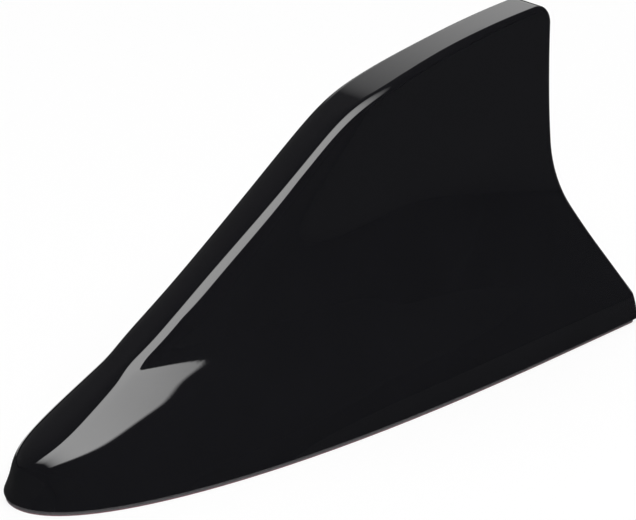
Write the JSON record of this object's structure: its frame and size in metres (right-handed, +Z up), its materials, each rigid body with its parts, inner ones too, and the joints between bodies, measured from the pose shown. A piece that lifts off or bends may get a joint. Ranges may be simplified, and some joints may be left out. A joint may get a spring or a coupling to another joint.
{
  "type": "shark fin aerial",
  "caption": "Stick-on roof aerial with a gloss black shark fin cover: flat spine band, kinked crest, upright tail, hollow foot on a foam pad with a lead outlet below.",
  "frame": {"origin": "middle of the underside of the peel-off film, on the roof plane", "axes": "+X from the nose to the tail, +Y across the fin, +Z up from the roof"},
  "size_m": [0.16, 0.047, 0.0716],
  "materials": {
    "gloss_cover": "high gloss moulded",
    "base_plastic": "fine spark texture",
    "foam_pad": "closed cell foam",
    "liner_film": "satin film",
    "screw_steel": "zinc plated",
    "grommet_rubber": "matt moulded",
    "board_laminate": "solder mask",
    "antenna_laminate": "solder mask",
    "copper": "bare copper foil",
    "tin_plate": "tinned",
    "chip_epoxy": "moulded epoxy",
    "ceramic": "fired ceramic",
    "ferrite": "ground ferrite",
    "winding_copper": "enamelled wire",
    "can_aluminium": "drawn can",
    "white_nylon": "moulded",
    "pin_brass": "plated"
  },
  "bodies": {
    "root": {"fin_cover": "gloss_cover", "base_plate": "base_plastic", "adhesive_pad": "foam_pad", "release_liner": "liner_film", "base_screws": "screw_steel", "lead_grommet": "grommet_rubber", "main_board": "board_laminate", "board_screws": "screw_steel", "antenna_board": "antenna_laminate", "antenna_trace": "copper", "shield_can": "tin_plate", "amplifier_chip": "chip_epoxy", "chip_capacitors": "ceramic", "choke_cores": "ferrite", "choke_windings": "winding_copper", "can_capacitors": "can_aluminium", "lead_socket": "white_nylon", "socket_pins": "pin_brass"}
  },
  "joints": []
}
